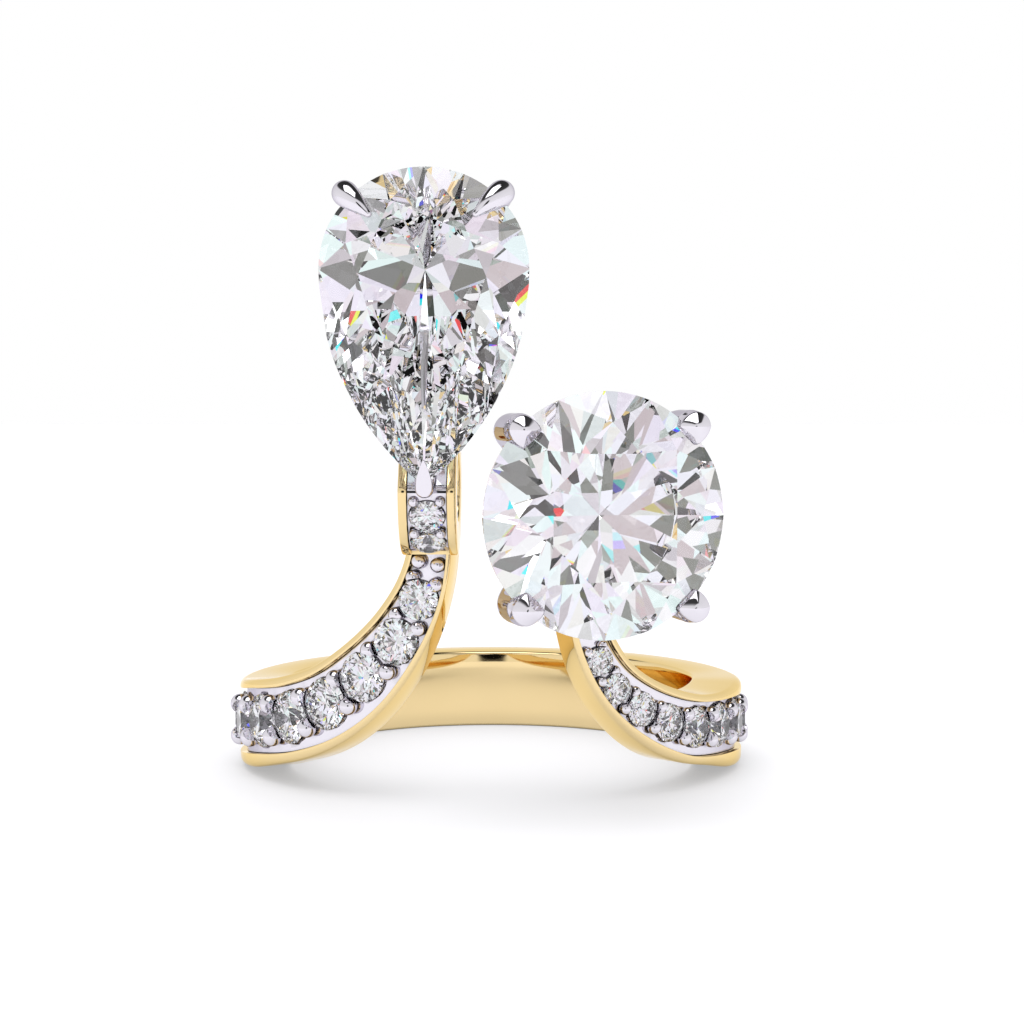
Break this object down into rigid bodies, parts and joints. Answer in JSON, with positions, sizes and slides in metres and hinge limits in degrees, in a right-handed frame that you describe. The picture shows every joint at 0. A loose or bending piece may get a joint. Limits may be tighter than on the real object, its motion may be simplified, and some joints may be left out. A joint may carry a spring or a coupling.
{
  "type": "toi et moi ring",
  "caption": "Open bypass ring in two metals: a band whose two channel-set arms sweep up to a pear-cut stone and a round brilliant, lying on its side.",
  "frame": {"origin": "on the axis of the finger, in the plane of the surface that the ring rests on", "axes": "+Z along the finger axis, from the plain side of the band up towards the pear stone's rounded end; -Y from the finger axis towards the front with the two main stones; +X to the right as seen from the front, towards the round stone"},
  "size_m": [0.021, 0.0261, 0.0226],
  "materials": {
    "yellow_gold": "polished pale yellow gold",
    "white_gold": "polished white gold",
    "diamond": "clear, cut and polished"
  },
  "bodies": {
    "root": {"shank": "yellow_gold", "pear_arm_bed": "white_gold", "round_arm_bed": "white_gold", "collar_bed": "white_gold", "pear_head": "white_gold", "round_head": "white_gold", "pear_stone": "diamond", "round_stone": "diamond", "pear_arm_accent_1": "diamond", "pear_arm_accent_2": "diamond", "pear_arm_accent_3": "diamond", "pear_arm_accent_4": "diamond", "pear_arm_accent_5": "diamond", "pear_arm_accent_6": "diamond", "pear_arm_accent_7": "diamond", "pear_arm_accent_8": "diamond", "round_arm_accent_1": "diamond", "round_arm_accent_2": "diamond", "round_arm_accent_3": "diamond", "round_arm_accent_4": "diamond", "round_arm_accent_5": "diamond", "round_arm_accent_6": "diamond", "round_arm_accent_7": "diamond", "round_arm_accent_8": "diamond", "round_arm_accent_9": "diamond", "collar_accent_1": "diamond", "collar_accent_2": "diamond"}
  },
  "joints": []
}
